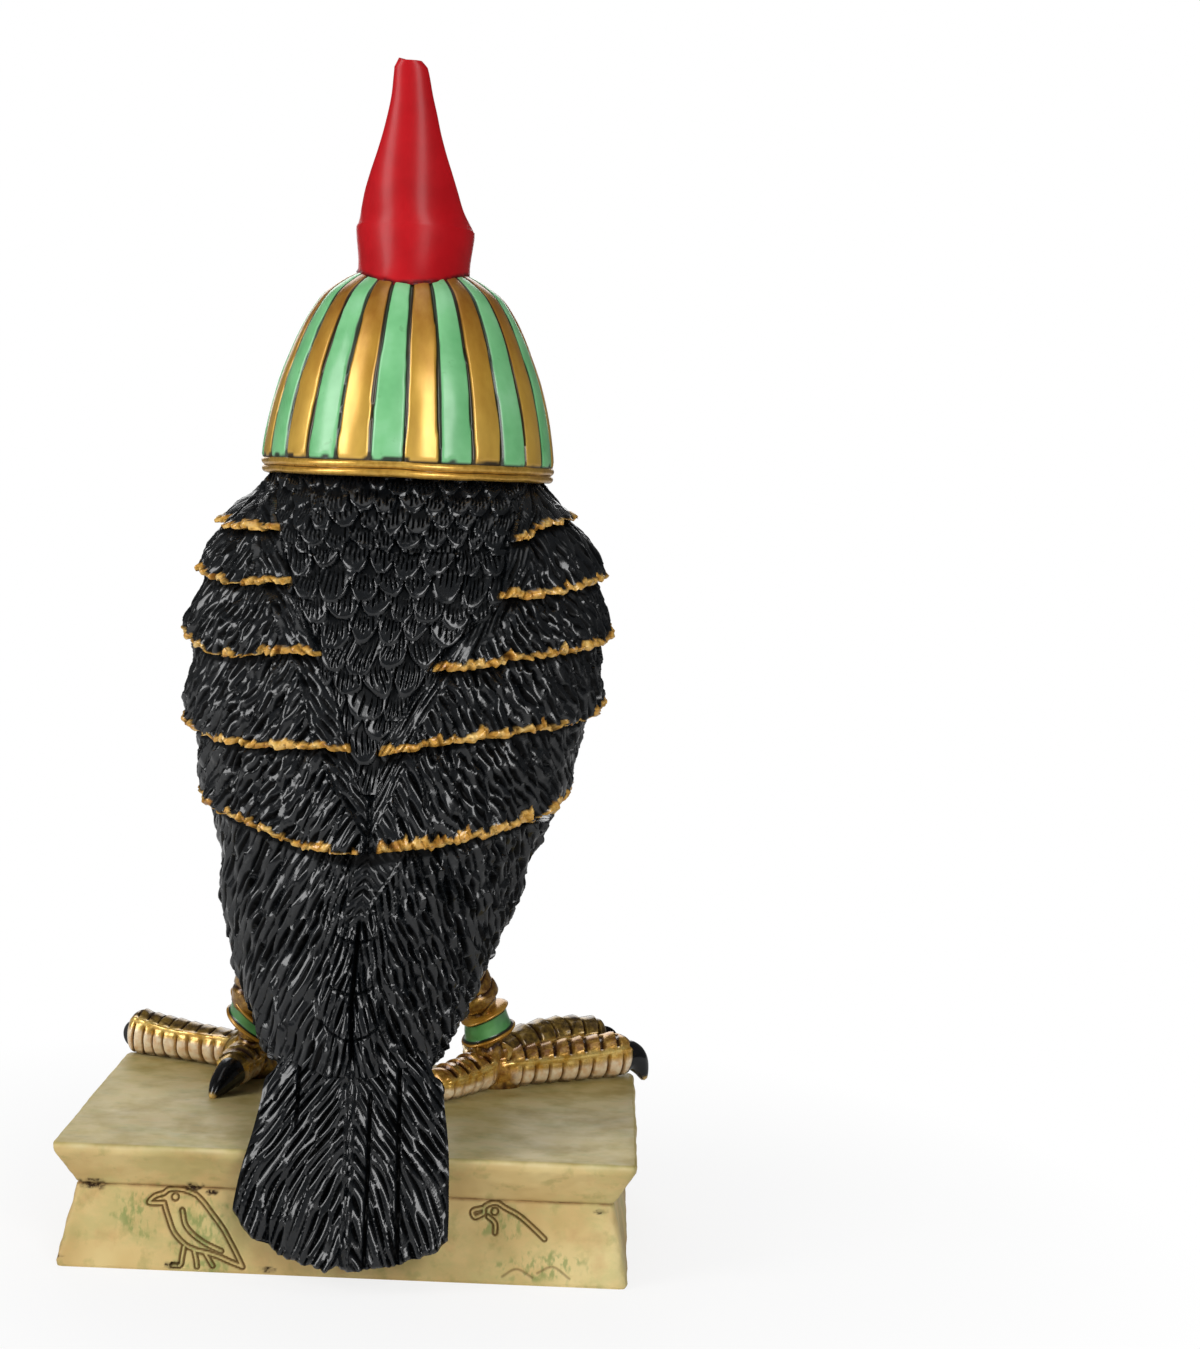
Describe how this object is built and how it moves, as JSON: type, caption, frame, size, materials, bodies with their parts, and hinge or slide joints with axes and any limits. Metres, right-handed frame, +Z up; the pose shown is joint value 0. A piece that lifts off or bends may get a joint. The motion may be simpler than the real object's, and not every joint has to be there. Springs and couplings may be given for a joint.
{
  "type": "falcon figure on a plinth",
  "caption": "Standing falcon in a striped cap and a tall red crown, with folded wings and a tail that hangs behind its carved plinth.",
  "frame": {"origin": "centre of the plinth's flat underside", "axes": "+Z up, the bird looks along -Y, +X is the bird's left"},
  "size_m": [0.0953, 0.0795, 0.19],
  "materials": {
    "painted_resin": "glossy black painted resin with gold, green, red and cream areas"
  },
  "bodies": {
    "root": {"horus_falcon_figure": "painted_resin"}
  },
  "joints": []
}
